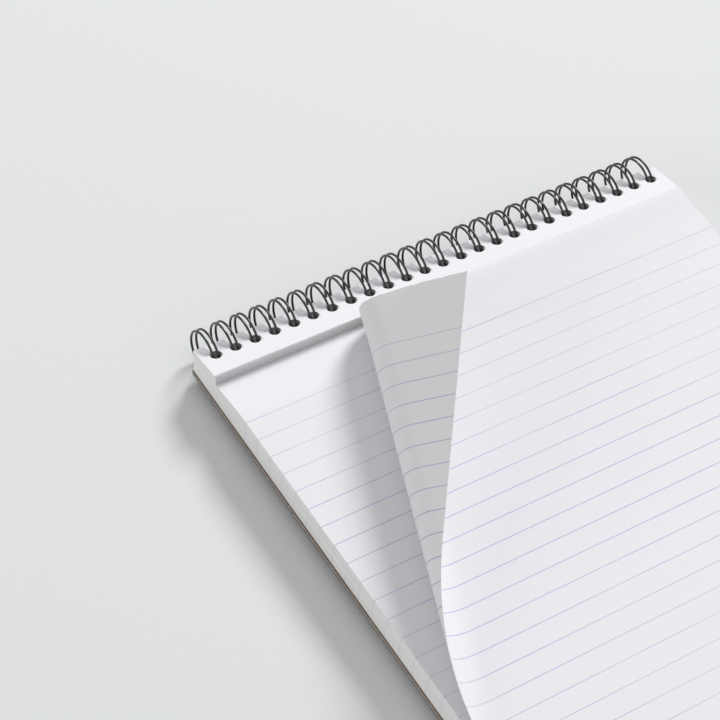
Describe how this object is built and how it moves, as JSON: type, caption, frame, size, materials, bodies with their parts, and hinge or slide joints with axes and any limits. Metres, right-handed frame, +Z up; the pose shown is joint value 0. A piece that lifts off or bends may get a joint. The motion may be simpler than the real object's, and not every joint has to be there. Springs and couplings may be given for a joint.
{
  "type": "twin-loop wire notebook",
  "caption": "Top-bound ruled writing pad on a stiff board, held by a closed twin-loop wire, with torn stubs and its top sheet half torn off and curling over",
  "frame": {"origin": "middle of the notebook's box, at the level of the rings' lowest points", "axes": "X along the binding, +Y towards the binding, +Z up out of the page"},
  "size_m": [0.2176, 0.3084, 0.0658],
  "materials": {
    "greyboard": "uncoated brown-grey board",
    "black_wire": "nylon-coated steel wire, slight sheen",
    "ruled_paper": "uncoated white paper with pale blue-violet rulings",
    "stub_paper": "uncoated white paper, torn at the perforation",
    "top_paper": "uncoated white paper with pale blue-violet rulings"
  },
  "bodies": {
    "back": {"back_board": "greyboard", "wire_binding": "black_wire"},
    "pages": {"page_block": "ruled_paper", "torn_stubs": "stub_paper", "top_sheet": "top_paper"}
  },
  "joints": [
    {"name": "pages_turn", "type": "hinge", "parent": "back", "child": "pages", "pos_m": [0, 0.14466, 0.00953], "axis": [-1, 0, 0], "range_deg": [0, 190]}
  ]
}
